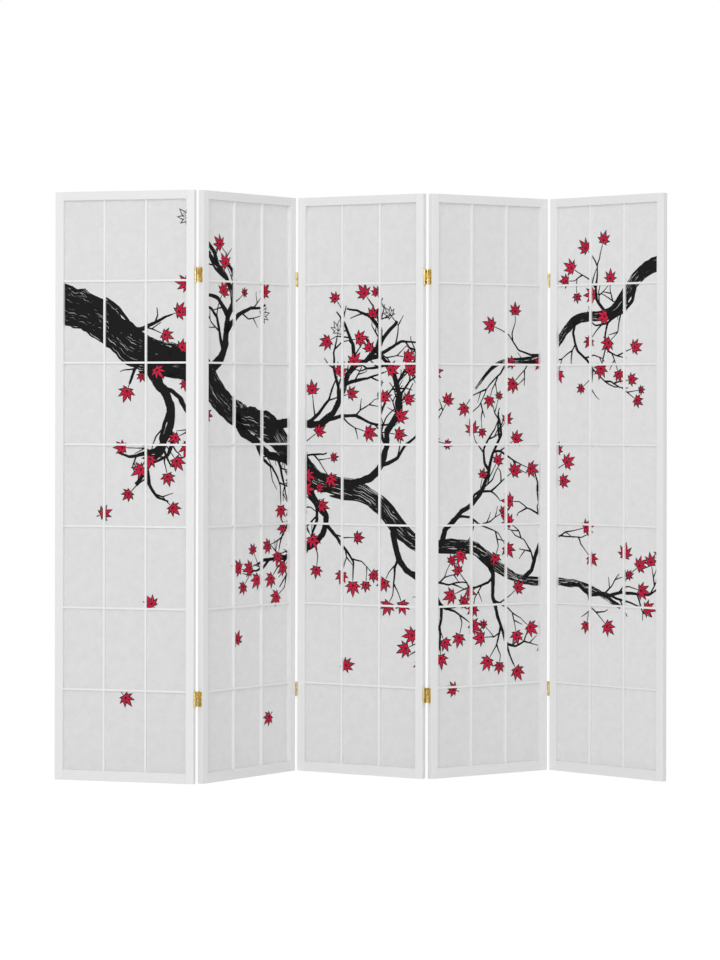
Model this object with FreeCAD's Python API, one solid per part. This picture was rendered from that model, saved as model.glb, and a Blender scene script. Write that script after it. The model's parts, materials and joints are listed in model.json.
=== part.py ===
import FreeCAD, Part
import math
import os

# Folding screen of five latticed paper panels, stood in a zigzag. Millimetres, +Z up, fronts to -Y.
# Each panel is built in its own frame: x from its left edge, y from mid thickness (front is
# negative), z from the floor. It is then turned to its place about the pins of its hinges.

# Panel frame
PANEL_WIDTH = 445.0
PANEL_HEIGHT = 1784.0
FRAME_THICKNESS = 19.0
STILE_WIDTH = 26.0
TOP_RAIL_HEIGHT = 26.0
BOTTOM_RAIL_HEIGHT = 31.0
EDGE_CHAMFER = 0.8

# Tenons of the rails in the stiles
TENON_LENGTH = 14.0
TENON_THICKNESS = 6.0
TENON_SETBACK = 3.5
TENON_SHOULDER = 5.0
GLUE_LINE = 0.1
MORTISE_END_GAP = 0.5

# Lattice of uprights and crossbars, half-lapped flush
COLUMNS = 3
ROWS = 7
BAR_WIDTH = 6.0
LATTICE_DEPTH = 8.0
LATTICE_SETBACK = 5.0
STUB_LENGTH = 4.0
STUB_SHOULDER = 1.2
LAP_CLEARANCE = 0.05

# Paper, glued to the back of the lattice and into a rebate round the frame
PAPER_THICKNESS = 0.4
PAPER_LAP = 7.0
PAPER_EDGE_GAP = 0.5

# Folds between panels, and how the screen stands: each panel's turn from the X axis
FOLD_GAP = 7.0
CLOSED_GAP = 1.5
PANEL_TURNS_DEG = (-15.6, 52.5, -29.8, 34.2, -43.1)

# Double-acting hinges, two to a fold
HINGE_INSET = 254.0
HINGE_HEIGHT = 46.0
LEAF_THICKNESS = 1.4
KNUCKLE_GAP = 0.5
KNUCKLE_END_GAP = 0.3
PIN_RADIUS = 1.3
PIN_CLEARANCE = 0.05

# Countersunk screws, two to a leaf
SCREW_SPACING = 30.0
SCREW_LENGTH = 14.0
SCREW_RADIUS = 1.2
SCREW_POINT = 2.5
SCREW_CLEARANCE = 0.05
SLOT_WIDTH = 0.7
SLOT_DEPTH = 0.6
ACCESS_HOLE_RADIUS = 3.2

# Sides of the small round pieces, few because they repeat so often
KNUCKLE_SIDES = 10
ROD_SIDES = 8

# Overrun of every cutting solid past the face it opens
OVERRUN = 2.0

UP = FreeCAD.Vector(0, 0, 1)
ACROSS = FreeCAD.Vector(1, 0, 0)
DEEP = FreeCAD.Vector(0, 1, 0)

# Depths from mid thickness
front = -FRAME_THICKNESS / 2
back = FRAME_THICKNESS / 2
lattice_front = front + LATTICE_SETBACK
lattice_back = lattice_front + LATTICE_DEPTH
lattice_middle = (lattice_front + lattice_back) / 2
rebate_width = PAPER_LAP + PAPER_EDGE_GAP

# Fold: two pins, one proud of each face, in the middle of the gap
half_gap = FOLD_GAP / 2
pin_depth = back + CLOSED_GAP / 2
knuckle_radius = half_gap - KNUCKLE_GAP
plate_reach = pin_depth - knuckle_radius - KNUCKLE_GAP
leaf_face = half_gap - LEAF_THICKNESS
screw_head_radius = SCREW_RADIUS + LEAF_THICKNESS
hinge_heights = (HINGE_INSET, PANEL_HEIGHT - HINGE_INSET)
screw_heights = (-SCREW_SPACING / 2, SCREW_SPACING / 2)


def box(x0, x1, y0, y1, z0, z1):
    """A box between two corners."""
    return Part.makeBox(x1 - x0, y1 - y0, z1 - z0, FreeCAD.Vector(x0, y0, z0))


def prism(points, along):
    """A flat outline pushed along a vector."""
    return Part.Face(Part.makePolygon(points + points[:1])).extrude(along)


def ring(radius, base, normal, sides):
    """The corners of a many-sided outline square to a normal."""
    side = DEEP if normal == ACROSS else ACROSS
    other = normal.cross(side)
    turns = [2 * math.pi * k / sides for k in range(sides)]
    return [base + side * (radius * math.cos(t)) + other * (radius * math.sin(t)) for t in turns]


def round_bar(radius, base, normal, length, sides):
    """A many-sided bar that lies inside a circle."""
    return prism(ring(radius, base, normal, sides), normal * length)


def round_bore(radius, base, normal, length, sides):
    """A many-sided cutter that holds a circle."""
    return round_bar(radius / math.cos(math.pi / sides), base, normal, length, sides)


def taper(wide, narrow, base, tip, sides):
    """A many-sided cone along X between a wide ring and a narrow one, or a point."""
    near = ring(wide, base, ACROSS, sides)
    far = ring(narrow, tip, ACROSS, sides)
    outlines = [near[::-1]]
    for k in range(sides):
        wall = [near[k - 1], near[k], far[k], far[k - 1]]
        outlines.append(wall if narrow else wall[:3])
    if narrow:
        outlines.append(far)
    faces = [Part.Face(Part.makePolygon(outline + outline[:1])) for outline in outlines]
    shell = Part.makeShell(faces)
    shell.sewShape()
    return Part.makeSolid(shell)


def spaced(start, end, count):
    """Where the bars start that part a clear width into equal openings."""
    clear = (end - start - (count - 1) * BAR_WIDTH) / count
    return [start + k * (clear + BAR_WIDTH) - BAR_WIDTH for k in range(1, count)]


def turned_over(shape):
    """The same piece at the other end of the panel, its front still in front."""
    copy = shape.copy()
    middle = FreeCAD.Vector(PANEL_WIDTH / 2, 0, PANEL_HEIGHT / 2)
    copy.rotate(middle, DEEP, 180)
    return copy


def mirrored(shape):
    """The matching piece at the other side of the panel."""
    return shape.mirror(FreeCAD.Vector(PANEL_WIDTH / 2, 0, 0), ACROSS)


upright_places = spaced(STILE_WIDTH, PANEL_WIDTH - STILE_WIDTH, COLUMNS)
crossbar_places = spaced(BOTTOM_RAIL_HEIGHT, PANEL_HEIGHT - TOP_RAIL_HEIGHT, ROWS)


# Stiles: eased edges, a rebate for the paper, mortises for both rails and for every crossbar
def tenon(rail_height, x0, x1, grow):
    """A rail's tenon at the panel's foot, or its mortise when it grows by the glue line."""
    y0 = front + TENON_SETBACK
    return box(
        x0,
        x1,
        y0 - grow,
        y0 + TENON_THICKNESS + grow,
        TENON_SHOULDER - grow,
        rail_height - TENON_SHOULDER + grow,
    )


def upright_stub(x, z0, z1, grow):
    """The thinner end of an upright between two heights, or its socket when it grows."""
    return box(
        x - grow,
        x + BAR_WIDTH + grow,
        lattice_front + STUB_SHOULDER - grow,
        lattice_back - STUB_SHOULDER + grow,
        z0,
        z1,
    )


def crossbar_stub(z, x0, x1, grow):
    """The thinner end of a crossbar between two distances across, or its socket."""
    return box(
        x0,
        x1,
        lattice_front + STUB_SHOULDER - grow,
        lattice_back - STUB_SHOULDER + grow,
        z - grow,
        z + BAR_WIDTH + grow,
    )


def screw_hole(z):
    """A pilot hole in the left edge of a panel, as deep as the screw and a little more."""
    depth = SCREW_LENGTH - LEAF_THICKNESS + MORTISE_END_GAP
    start = FreeCAD.Vector(-OVERRUN, 0, z)
    return round_bar(SCREW_RADIUS + SCREW_CLEARANCE, start, ACROSS, depth + OVERRUN, ROD_SIDES)


def left_stile(hinged):
    """The stile at a panel's left edge, drilled for hinge screws where it carries hinges."""
    blank = box(0, STILE_WIDTH, front, back, 0, PANEL_HEIGHT)
    eased = []
    for edge in blank.Edges:
        middle = edge.CenterOfMass
        inner = math.isclose(middle.x, STILE_WIDTH)
        if not inner or math.isclose(middle.y, front):
            eased.append(edge)
    stile = blank.makeChamfer(EDGE_CHAMFER, eased)
    cuts = [
        box(
            STILE_WIDTH - rebate_width,
            STILE_WIDTH + OVERRUN,
            lattice_back,
            back + OVERRUN,
            -OVERRUN,
            PANEL_HEIGHT + OVERRUN,
        )
    ]
    end = STILE_WIDTH - TENON_LENGTH - MORTISE_END_GAP
    low_mortise = tenon(BOTTOM_RAIL_HEIGHT, end, STILE_WIDTH + OVERRUN, GLUE_LINE)
    top_mortise = tenon(TOP_RAIL_HEIGHT, end, STILE_WIDTH + OVERRUN, GLUE_LINE)
    top_mortise.translate(UP * (PANEL_HEIGHT - TOP_RAIL_HEIGHT))
    cuts += [low_mortise, top_mortise]
    socket = STILE_WIDTH - STUB_LENGTH - MORTISE_END_GAP
    for z in crossbar_places:
        cuts.append(crossbar_stub(z, socket, STILE_WIDTH + OVERRUN, GLUE_LINE))
    if hinged:
        cuts += [screw_hole(h + s) for h in hinge_heights for s in screw_heights]
    return stile.cut(cuts)


# Rails: a long shoulder in front and a short one behind, which fills the stiles' rebates
def rail(height):
    """A rail at the panel's foot, with a tenon at each end and a socket for each upright."""
    inner = PANEL_WIDTH - STILE_WIDTH
    c = EDGE_CHAMFER
    top = height
    low = height - rebate_width
    front_outline = [
        (front + c, 0),
        (lattice_back, 0),
        (lattice_back, top),
        (front + c, top),
        (front, top - c),
        (front, c),
    ]
    back_outline = [
        (lattice_back, 0),
        (back - c, 0),
        (back, c),
        (back, low),
        (lattice_back, low),
    ]
    front_part = prism(
        [FreeCAD.Vector(STILE_WIDTH, y, z) for y, z in front_outline],
        ACROSS * (inner - STILE_WIDTH),
    )
    back_start = STILE_WIDTH - rebate_width
    back_part = prism(
        [FreeCAD.Vector(back_start, y, z) for y, z in back_outline],
        ACROSS * (inner + rebate_width - back_start),
    )
    tenons = [
        tenon(height, STILE_WIDTH - TENON_LENGTH, STILE_WIDTH + OVERRUN, 0),
        tenon(height, inner - OVERRUN, inner + TENON_LENGTH, 0),
    ]
    member = front_part.fuse([back_part] + tenons).removeSplitter()
    floor = height - STUB_LENGTH - MORTISE_END_GAP
    sockets = [upright_stub(x, floor, top + OVERRUN, GLUE_LINE) for x in upright_places]
    return member.cut(sockets)


# Lattice bars: stubs at both ends, half-lapped where they cross
def upright(x):
    """An upright, notched in front for every crossbar."""
    z0 = BOTTOM_RAIL_HEIGHT
    z1 = PANEL_HEIGHT - TOP_RAIL_HEIGHT
    body = box(x, x + BAR_WIDTH, lattice_front, lattice_back, z0, z1)
    stubs = [
        upright_stub(x, z0 - STUB_LENGTH, z0 + OVERRUN, 0),
        upright_stub(x, z1 - OVERRUN, z1 + STUB_LENGTH, 0),
    ]
    notches = [
        box(
            x - OVERRUN,
            x + BAR_WIDTH + OVERRUN,
            lattice_front - OVERRUN,
            lattice_middle,
            z - LAP_CLEARANCE,
            z + BAR_WIDTH + LAP_CLEARANCE,
        )
        for z in crossbar_places
    ]
    return body.fuse(stubs).removeSplitter().cut(notches)


def crossbar(z):
    """A crossbar, notched behind for every upright."""
    x0 = STILE_WIDTH
    x1 = PANEL_WIDTH - STILE_WIDTH
    body = box(x0, x1, lattice_front, lattice_back, z, z + BAR_WIDTH)
    stubs = [
        crossbar_stub(z, x0 - STUB_LENGTH, x0 + OVERRUN, 0),
        crossbar_stub(z, x1 - OVERRUN, x1 + STUB_LENGTH, 0),
    ]
    notches = [
        box(
            x - LAP_CLEARANCE,
            x + BAR_WIDTH + LAP_CLEARANCE,
            lattice_middle,
            lattice_back + OVERRUN,
            z - OVERRUN,
            z + BAR_WIDTH + OVERRUN,
        )
        for x in upright_places
    ]
    return body.fuse(stubs).removeSplitter().cut(notches)


def paper():
    """One sheet, from rebate to rebate, against the back of the lattice."""
    side = STILE_WIDTH - PAPER_LAP
    return box(
        side,
        PANEL_WIDTH - side,
        lattice_back,
        lattice_back + PAPER_THICKNESS,
        BOTTOM_RAIL_HEIGHT - PAPER_LAP,
        PANEL_HEIGHT - TOP_RAIL_HEIGHT + PAPER_LAP,
    )


# Hinge: three leaves and two pins. The left leaf turns on the front pin and the right leaf on the
# back pin, with the centre leaf between them, so the fold closes either way. On each pin the upper
# knuckle is the screwed leaf's and the lower one is the centre leaf's. The hinge's frame is the
# middle of the gap at the hinge's mid height, with the fold flat.
half_height = HINGE_HEIGHT / 2
upper_knuckle = (KNUCKLE_END_GAP / 2, half_height)
lower_knuckle = (-half_height, -KNUCKLE_END_GAP / 2)


def knuckle(y, heights):
    """A barrel round a pin at a depth, between two heights."""
    base = FreeCAD.Vector(0, y, heights[0])
    return round_bar(knuckle_radius, base, UP, heights[1] - heights[0], KNUCKLE_SIDES)


def pin_bore(y):
    """The bore for a pin at a depth, right through the hinge."""
    base = FreeCAD.Vector(0, y, -half_height - OVERRUN)
    length = HINGE_HEIGHT + 2 * OVERRUN
    return round_bore(PIN_RADIUS + PIN_CLEARANCE, base, UP, length, KNUCKLE_SIDES)


def plate(x0, x1):
    """A leaf's flat plate."""
    return box(x0, x1, -plate_reach, plate_reach, -half_height, half_height)


def countersunk_hole(z):
    """The left leaf's screw hole: a cone through its thickness, a clearance wider than the head."""
    base = FreeCAD.Vector(-leaf_face, 0, z)
    tip = FreeCAD.Vector(-half_gap, 0, z)
    wide = screw_head_radius + SCREW_CLEARANCE
    return taper(wide, SCREW_RADIUS + SCREW_CLEARANCE, base, tip, ROD_SIDES)


def left_leaf():
    """The leaf screwed to the left panel, with a knuckle that curls round the front pin."""
    z0, z1 = upper_knuckle
    neck = [
        (-half_gap, -plate_reach),
        (-half_gap, front),
        (-knuckle_radius, -pin_depth),
        (0, -pin_depth),
        (-leaf_face, -plate_reach),
    ]
    web = prism([FreeCAD.Vector(x, y, z0) for x, y in neck], UP * (z1 - z0))
    leaf = plate(-half_gap, -leaf_face).fuse([web, knuckle(-pin_depth, upper_knuckle)])
    cuts = [pin_bore(-pin_depth)] + [countersunk_hole(z) for z in screw_heights]
    return leaf.removeSplitter().cut(cuts)


def right_leaf():
    """The left leaf turned round: it is screwed to the right panel, on the back pin."""
    leaf = left_leaf()
    leaf.rotate(FreeCAD.Vector(0, 0, 0), UP, 180)
    return leaf


def centre_leaf():
    """The loose leaf, with the lower knuckle of each pin and holes that clear the screw heads."""
    half = LEAF_THICKNESS / 2
    web = box(-half, half, -pin_depth, pin_depth, *lower_knuckle)
    knuckles = [knuckle(y, lower_knuckle) for y in (-pin_depth, pin_depth)]
    leaf = plate(-half, half).fuse([web] + knuckles)
    cuts = [pin_bore(-pin_depth), pin_bore(pin_depth)]
    for z in screw_heights:
        start = FreeCAD.Vector(-half - OVERRUN, 0, z)
        length = LEAF_THICKNESS + 2 * OVERRUN
        cuts.append(round_bore(ACCESS_HOLE_RADIUS, start, ACROSS, length, ROD_SIDES))
    return leaf.removeSplitter().cut(cuts)


def pin(y):
    """A plain pin at a depth, flush with both ends of the hinge."""
    base = FreeCAD.Vector(0, y, -half_height)
    return round_bar(PIN_RADIUS, base, UP, HINGE_HEIGHT, ROD_SIDES)


def screw():
    """A slotted countersunk wood screw in the left leaf, its head flush with the leaf."""
    surface = FreeCAD.Vector(-leaf_face, 0, 0)
    under = surface - ACROSS * LEAF_THICKNESS
    neck = surface - ACROSS * (SCREW_LENGTH - SCREW_POINT)
    tip = surface - ACROSS * SCREW_LENGTH
    head = taper(screw_head_radius, SCREW_RADIUS, surface, under, ROD_SIDES)
    shank_length = SCREW_LENGTH - SCREW_POINT - LEAF_THICKNESS
    shank = round_bar(SCREW_RADIUS, neck, ACROSS, shank_length, ROD_SIDES)
    point = taper(SCREW_RADIUS, 0, neck, tip, ROD_SIDES)
    slot = box(
        -leaf_face - SLOT_DEPTH,
        -leaf_face + OVERRUN,
        -SLOT_WIDTH / 2,
        SLOT_WIDTH / 2,
        -screw_head_radius - OVERRUN,
        screw_head_radius + OVERRUN,
    )
    return head.fuse([shank, point]).cut(slot)


# Placing: each fold turns the next panel about its main pin, from flat to where it stands
def shift(x, y=0.0, z=0.0):
    """A placement that only moves."""
    return FreeCAD.Placement(FreeCAD.Vector(x, y, z), FreeCAD.Rotation())


def spin(degrees):
    """A placement that only turns about Z."""
    return FreeCAD.Placement(FreeCAD.Vector(0, 0, 0), FreeCAD.Rotation(UP, degrees))


panel_places = [spin(PANEL_TURNS_DEG[0])]
for before, after in zip(PANEL_TURNS_DEG, PANEL_TURNS_DEG[1:]):
    turn = after - before
    main_pin = math.copysign(pin_depth, turn)
    hinge_line = panel_places[-1] * shift(PANEL_WIDTH + half_gap, main_pin)
    panel_places.append(hinge_line * spin(turn) * shift(half_gap, -main_pin))

fold_turns = [after - before for before, after in zip(PANEL_TURNS_DEG, PANEL_TURNS_DEG[1:])]
last_panel = len(PANEL_TURNS_DEG) - 1


def placed(shapes, place):
    """Copies of shapes at a placement."""
    copies = []
    for shape in shapes:
        copy = shape.copy()
        copy.Placement = place * copy.Placement
        copies.append(copy)
    return copies


def at_hinges(shapes, fold_place):
    """Copies of a hinge's pieces at both heights of a fold."""
    return [s for z in hinge_heights for s in placed(shapes, fold_place * shift(0, 0, z))]


left_screws = placed([screw()], shift(0, 0, screw_heights[0]))
left_screws += placed([screw()], shift(0, 0, screw_heights[1]))
right_screws = placed(left_screws, spin(180))

plain_stile = left_stile(False)
drilled_stile = left_stile(True)
bottom_rail = rail(BOTTOM_RAIL_HEIGHT)
top_rail = turned_over(rail(TOP_RAIL_HEIGHT))
bars = [upright(x) for x in upright_places] + [crossbar(z) for z in crossbar_places]

nodes = {}
for number, place in enumerate(panel_places, 1):
    first = number == 1
    last = number == len(panel_places)
    name = f"panel_{number}_"
    left = plain_stile if first else drilled_stile
    right = mirrored(plain_stile if last else drilled_stile)
    nodes[name + "left_stile"] = placed([left], place)
    nodes[name + "right_stile"] = placed([right], place)
    nodes[name + "bottom_rail"] = placed([bottom_rail], place)
    nodes[name + "top_rail"] = placed([top_rail], place)
    nodes[name + "lattice_bars"] = placed(bars, place)
    nodes[name + "paper"] = placed([paper()], place)
    screws = []
    if not first:
        screws += at_hinges(right_screws, place * shift(-half_gap))
    if not last:
        screws += at_hinges(left_screws, place * shift(PANEL_WIDTH + half_gap))
    nodes[name + "hinge_screws"] = screws

fold_centres = []
for number, turn in enumerate(fold_turns, 1):
    left_place = panel_places[number - 1] * shift(PANEL_WIDTH + half_gap)
    right_place = panel_places[number] * shift(-half_gap)
    centre_place = left_place if turn > 0 else right_place
    fold_centres.append(centre_place)
    name = f"fold_{number}_"
    nodes[name + "left_leaves"] = at_hinges([left_leaf()], left_place)
    nodes[name + "centre_leaves"] = at_hinges([centre_leaf()], centre_place)
    nodes[name + "right_leaves"] = at_hinges([right_leaf()], right_place)
    nodes[name + "hinge_pins"] = at_hinges([pin(-pin_depth), pin(pin_depth)], centre_place)

# The origin is on the floor, under the middle of the standing screen
extent = Part.makeCompound([s for solids in nodes.values() for s in solids]).BoundBox
origin = shift(-extent.Center.x, -extent.Center.y, -extent.ZMin)

os.makedirs("parts", exist_ok=True)
for node, solids in nodes.items():
    Part.makeCompound(placed(solids, origin)).exportStep(f"parts/{node}.step")

for number, place in enumerate(fold_centres, 1):
    for side, y in (("front", -pin_depth), ("back", pin_depth)):
        at = (origin * place).multVec(FreeCAD.Vector(0, y, 0))
        print(f"fold {number} {side} pin at {at.x:.5f} {at.y:.5f}, turn {fold_turns[number - 1]:.3f}")
for number, place in enumerate(panel_places, 1):
    at = (origin * place).Base
    print(f"panel {number} left edge at {at.x:.5f} {at.y:.5f}")
print(f"screen {extent.XLength:.2f} by {extent.YLength:.2f} by {extent.ZLength:.2f}")
print(f"{len(nodes)} nodes, {sum(len(s) for s in nodes.values())} solids")
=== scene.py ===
import json
import math
import random

import bmesh
import bpy
from mathutils import Matrix, Vector


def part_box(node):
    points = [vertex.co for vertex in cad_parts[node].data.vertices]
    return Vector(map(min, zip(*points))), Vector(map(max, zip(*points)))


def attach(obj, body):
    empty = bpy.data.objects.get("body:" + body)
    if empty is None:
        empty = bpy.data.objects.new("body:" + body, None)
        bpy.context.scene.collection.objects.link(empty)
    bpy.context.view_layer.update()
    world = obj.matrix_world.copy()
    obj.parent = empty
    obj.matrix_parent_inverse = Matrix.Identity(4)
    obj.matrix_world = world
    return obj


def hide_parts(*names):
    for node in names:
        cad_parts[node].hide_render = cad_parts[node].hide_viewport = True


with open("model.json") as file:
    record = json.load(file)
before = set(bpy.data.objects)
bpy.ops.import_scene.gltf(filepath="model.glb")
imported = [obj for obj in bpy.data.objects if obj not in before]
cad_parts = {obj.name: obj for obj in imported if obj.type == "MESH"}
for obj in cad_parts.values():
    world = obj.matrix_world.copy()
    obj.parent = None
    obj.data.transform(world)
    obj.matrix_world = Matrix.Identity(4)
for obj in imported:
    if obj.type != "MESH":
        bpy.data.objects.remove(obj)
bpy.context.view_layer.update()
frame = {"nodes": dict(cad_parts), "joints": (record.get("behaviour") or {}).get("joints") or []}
nodes = frame["nodes"]
joints = {joint["name"]: joint for joint in frame["joints"]}

# Panel frames. Each of the five panels has two stiles and two rails of planed softwood, tenoned
# together and sprayed with a thin satin white, so that the grain still shows faintly through it.
# The CAD solids stay as they are and get the paint.
PANELS = range(1, 6)
PANEL_TURNS = {k: math.radians(a) for k, a in zip(PANELS, (-15.6, 52.5, -29.8, 34.2, -43.1))}
STILE_WHITE = (0.85, 0.85, 0.85, 1)
STILE_WHITE_THIN = (0.80, 0.80, 0.80, 1)
# The rails' paint is a shade darker than the stiles': partly a tone of their own, partly painted
# shade for the weaker light that falls on the rails.
SHADED_RAIL_WHITE = (0.825, 0.825, 0.825, 1)
SHADED_RAIL_WHITE_THIN = (0.775, 0.775, 0.775, 1)
PAINT_ROUGHNESS = 0.42
THIN_PLACES = 0.8
GRAIN_WIDTH = 0.0018
GRAIN_LENGTH = 0.07
GRAIN_BUMP = 0.3
RELIEF = 0.0003


def socket(tree, name, kind, way="INPUT", value=None):
    """A named input or output of a shader node group."""
    made = tree.interface.new_socket(name, in_out=way, socket_type=kind)
    if value is not None:
        made.default_value = value
    return made


def add(tree, kind, **settings):
    """A node with its settings, and with its inputs by name or number."""
    made = tree.nodes.new(kind)
    inputs = settings.pop("inputs", {})
    for name, value in settings.items():
        setattr(made, name, value)
    for name, value in inputs.items():
        if isinstance(value, bpy.types.NodeSocket):
            tree.links.new(value, made.inputs[name])
        else:
            made.inputs[name].default_value = value
    return made


def maths(tree, operation, first, second=0.0, clamp=False):
    """The result of one sum in a node group."""
    made = add(tree, "ShaderNodeMath", operation=operation, use_clamp=clamp, inputs={
        0: first, 1: second})
    return made.outputs["Value"]


def mixed(tree, share, colour, other):
    """A colour that goes over into another one by a share."""
    made = add(tree, "ShaderNodeMix", data_type="RGBA", inputs={
        "Factor": share, "A": colour, "B": other})
    return made.outputs["Result"]


def sprayed_paint_group():
    """Grain under paint: a height for the bump and a share of the thin places in the paint."""
    tree = bpy.data.node_groups.new("sprayed_paint", "ShaderNodeTree")
    socket(tree, "Place", "NodeSocketVector")
    socket(tree, "Thin Places", "NodeSocketFloat", value=0.5)
    socket(tree, "Height", "NodeSocketFloat", "OUTPUT")
    socket(tree, "Thin", "NodeSocketFloat", "OUTPUT")
    start = add(tree, "NodeGroupInput")
    end = add(tree, "NodeGroupOutput")
    grain = add(tree, "ShaderNodeTexNoise", inputs={
        "Vector": start.outputs["Place"], "Scale": 1.0, "Detail": 4.0, "Roughness": 0.55,
        "Distortion": 0.4})
    cloud = add(tree, "ShaderNodeTexNoise", inputs={
        "Vector": start.outputs["Place"], "Scale": 0.08, "Detail": 2.0})
    thin = maths(tree, "MULTIPLY", grain.outputs["Fac"], cloud.outputs["Fac"])
    share = maths(tree, "MULTIPLY", thin, start.outputs["Thin Places"], clamp=True)
    tree.links.new(grain.outputs["Fac"], end.inputs["Height"])
    tree.links.new(share, end.inputs["Thin"])
    return tree


sprayed_paint = sprayed_paint_group()


def new_material(name, colour, roughness, metallic=0.0):
    """A material with its tree and its Principled shader."""
    made = bpy.data.materials.new(name)
    made.use_nodes = True
    shader = made.node_tree.nodes["Principled BSDF"]
    shader.inputs["Base Color"].default_value = colour
    shader.inputs["Roughness"].default_value = roughness
    shader.inputs["Metallic"].default_value = metallic
    return made, made.node_tree, shader


def raise_surface(tree, shader, height, strength):
    """Gives a shader a fine relief."""
    bump = add(tree, "ShaderNodeBump", inputs={
        "Height": height, "Strength": strength, "Distance": RELIEF})
    tree.links.new(bump.outputs["Normal"], shader.inputs["Normal"])


def painted_wood(name, colour, worn, turn, grain_size, thin_places):
    """Satin white over wood whose grain runs along the member."""
    made, tree, shader = new_material(name, colour, PAINT_ROUGHNESS)
    place = add(tree, "ShaderNodeTexCoord")
    turned = add(tree, "ShaderNodeMapping", vector_type="TEXTURE", inputs={
        "Vector": place.outputs["Object"], "Rotation": (0, 0, turn), "Scale": grain_size})
    paint = add(tree, "ShaderNodeGroup", node_tree=sprayed_paint, inputs={
        "Place": turned.outputs["Vector"], "Thin Places": thin_places})
    tint = mixed(tree, paint.outputs["Thin"], colour, worn)
    tree.links.new(tint, shader.inputs["Base Color"])
    raise_surface(tree, shader, paint.outputs["Height"], GRAIN_BUMP)
    return made


def finish_node(name, material):
    """Gives a CAD node its finish."""
    nodes[name].data.materials.clear()
    nodes[name].data.materials.append(material)


UPRIGHT_GRAIN = (GRAIN_WIDTH, GRAIN_WIDTH, GRAIN_LENGTH)
LYING_GRAIN = (GRAIN_LENGTH, GRAIN_WIDTH, GRAIN_WIDTH)
stile_paint = painted_wood(
    "stile_paint", STILE_WHITE, STILE_WHITE_THIN, 0, UPRIGHT_GRAIN, THIN_PLACES)
for k in PANELS:
    shaded_rail_paint = painted_wood(
        f"rail_paint_{k}", SHADED_RAIL_WHITE, SHADED_RAIL_WHITE_THIN, PANEL_TURNS[k], LYING_GRAIN, THIN_PLACES)
    for side in ("left", "right"):
        finish_node(f"panel_{k}_{side}_stile", stile_paint)
    for end in ("top", "bottom"):
        finish_node(f"panel_{k}_{end}_rail", shaded_rail_paint)

# Paper. One sheet of thin long-fibred paper per panel, glued to the back of the lattice and into a
# rebate round the frame. It is off-white, faintly cloudy, with single fibres lying in it.
PAPER_WHITE = (0.80, 0.80, 0.80, 1)
PAPER_SHADE = (0.745, 0.745, 0.745, 1)
FIBRE_WHITE = (0.86, 0.86, 0.86, 1)
PAPER_ROUGHNESS = 0.85
PAPER_SHINE = 0.2
PAPER_GLOW = 0.85
PAPER_SPREAD = 0.003
CLOUD_SIZE = 0.03
FIBRE_SIZE = (0.004, 0.004, 0.02)
FIBRE_LEANS = (0.5, -0.9)
FIBRE_FINENESS = 0.02
FIBRE_STRENGTH = 0.5
FIBRE_BUMP = 0.15


def fibre_group():
    """Fibres in paper: thin wandering lines where a stretched noise crosses its middle."""
    tree = bpy.data.node_groups.new("paper_fibres", "ShaderNodeTree")
    socket(tree, "Place", "NodeSocketVector")
    socket(tree, "Fibre Size", "NodeSocketVector")
    socket(tree, "Lean", "NodeSocketVector")
    socket(tree, "Fibres", "NodeSocketFloat", "OUTPUT")
    start = add(tree, "NodeGroupInput")
    end = add(tree, "NodeGroupOutput")
    lean = add(tree, "ShaderNodeMapping", vector_type="TEXTURE", inputs={
        "Vector": start.outputs["Place"], "Rotation": start.outputs["Lean"],
        "Scale": start.outputs["Fibre Size"]})
    noise = add(tree, "ShaderNodeTexNoise", inputs={
        "Vector": lean.outputs["Vector"], "Scale": 1.0, "Detail": 1.5, "Distortion": 1.2})
    away = maths(tree, "ABSOLUTE", maths(tree, "SUBTRACT", noise.outputs["Fac"], 0.5))
    line = add(tree, "ShaderNodeMapRange", interpolation_type="SMOOTHSTEP", inputs={
        "Value": away, "From Min": 0.0, "From Max": FIBRE_FINENESS, "To Min": 1.0, "To Max": 0.0})
    tree.links.new(line.outputs["Result"], end.inputs["Fibres"])
    return tree


paper_fibres = fibre_group()


def screen_paper_material():
    """Cloudy long-fibred paper."""
    made, tree, shader = new_material("screen_paper", PAPER_WHITE, PAPER_ROUGHNESS)
    shader.inputs["Specular IOR Level"].default_value = PAPER_SHINE
    shader.inputs["Subsurface Weight"].default_value = PAPER_GLOW
    shader.inputs["Subsurface Radius"].default_value = (1, 1, 1)
    shader.inputs["Subsurface Scale"].default_value = PAPER_SPREAD
    place = add(tree, "ShaderNodeTexCoord")
    cloud = add(tree, "ShaderNodeTexNoise", inputs={
        "Vector": place.outputs["Object"], "Scale": 1 / CLOUD_SIZE, "Detail": 5.0,
        "Roughness": 0.65})
    patches = add(tree, "ShaderNodeMapRange", inputs={
        "Value": cloud.outputs["Fac"], "From Min": 0.35, "From Max": 0.65})
    fibres = []
    for lean in FIBRE_LEANS:
        fibres.append(add(tree, "ShaderNodeGroup", node_tree=paper_fibres, inputs={
            "Place": place.outputs["Object"], "Fibre Size": FIBRE_SIZE, "Lean": (lean, lean, 0)}))
    both = maths(tree, "MAXIMUM", fibres[0].outputs["Fibres"], fibres[1].outputs["Fibres"])
    sheet = mixed(tree, patches.outputs["Result"], PAPER_SHADE, PAPER_WHITE)
    fibred = mixed(tree, maths(tree, "MULTIPLY", both, FIBRE_STRENGTH), sheet, FIBRE_WHITE)
    tree.links.new(fibred, shader.inputs["Base Color"])
    raise_surface(tree, shader, both, FIBRE_BUMP)
    return made


screen_paper = screen_paper_material()
for k in PANELS:
    finish_node(f"panel_{k}_paper", screen_paper)

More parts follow.
